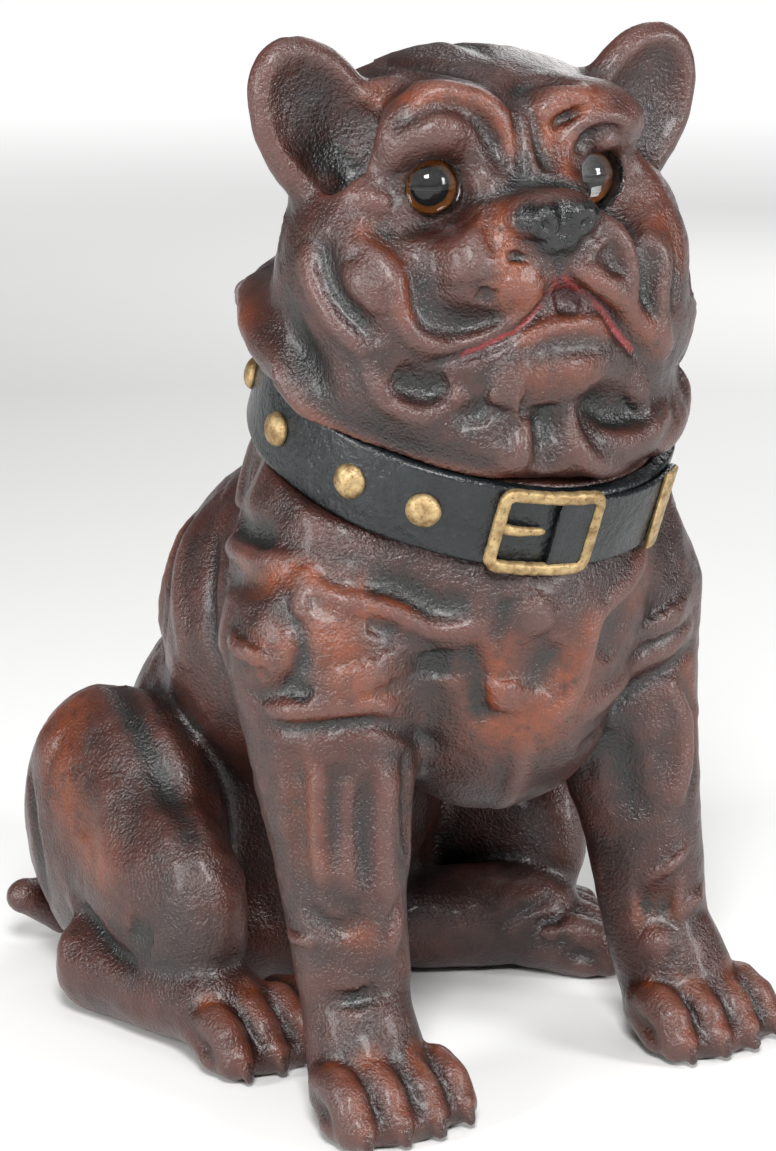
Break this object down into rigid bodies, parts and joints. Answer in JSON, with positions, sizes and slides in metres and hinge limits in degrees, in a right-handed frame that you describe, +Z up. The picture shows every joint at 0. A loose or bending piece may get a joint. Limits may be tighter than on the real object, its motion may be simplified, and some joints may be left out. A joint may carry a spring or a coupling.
{
  "type": "figural animal coin bank",
  "caption": "Seated bulldog coin bank cast in hollow halves, with set glass eyes, a studded buckled collar, a coin slot in the back and a twist-latch coin trap in the base.",
  "frame": {"origin": "on the floor under the middle of the bank's box", "axes": "+Z up, -Y the way the dog's body faces, +X the dog's left"},
  "size_m": [0.1445, 0.17, 0.2374],
  "materials": {
    "painted_casting": "red-brown enamel with a green-black wash, satin",
    "black_strap": "black enamel, brushed on thick, satin",
    "gilt": "gold bronze paint over black",
    "clear_glass": "clear polished glass",
    "iris_enamel": "amber enamel with a black pupil",
    "setting_putty": "dry putty",
    "steel": "dull zinc",
    "trap_plate": "black japanned steel"
  },
  "bodies": {
    "root": {"chest_casting": "painted_casting", "back_casting": "painted_casting", "face_casting": "painted_casting", "nape_casting": "painted_casting", "body_screw": "steel", "head_screw": "steel", "collar_strap": "black_strap", "strap_end": "black_strap", "strap_keeper": "gilt", "collar_studs": "gilt", "buckle_frame": "gilt", "buckle_prong": "gilt", "eye_glass_right": "clear_glass", "eye_glass_left": "clear_glass", "eye_iris_right": "iris_enamel", "eye_iris_left": "iris_enamel", "eye_putty_right": "setting_putty", "eye_putty_left": "setting_putty"},
    "trap_cover": {"trap_cover": "trap_plate"},
    "trap_latch": {"trap_latch": "steel", "trap_washer": "steel", "trap_rivet": "steel"}
  },
  "joints": [
    {"name": "trap_lift", "type": "slide", "parent": "root", "child": "trap_cover", "axis": [0, 0, -1], "range_m": [0, 0.03]},
    {"name": "latch_turn", "type": "hinge", "parent": "trap_cover", "child": "trap_latch", "pos_m": [0, 0.04, 0.0069], "axis": [0, 0, 1], "range_deg": [0, 90]}
  ]
}
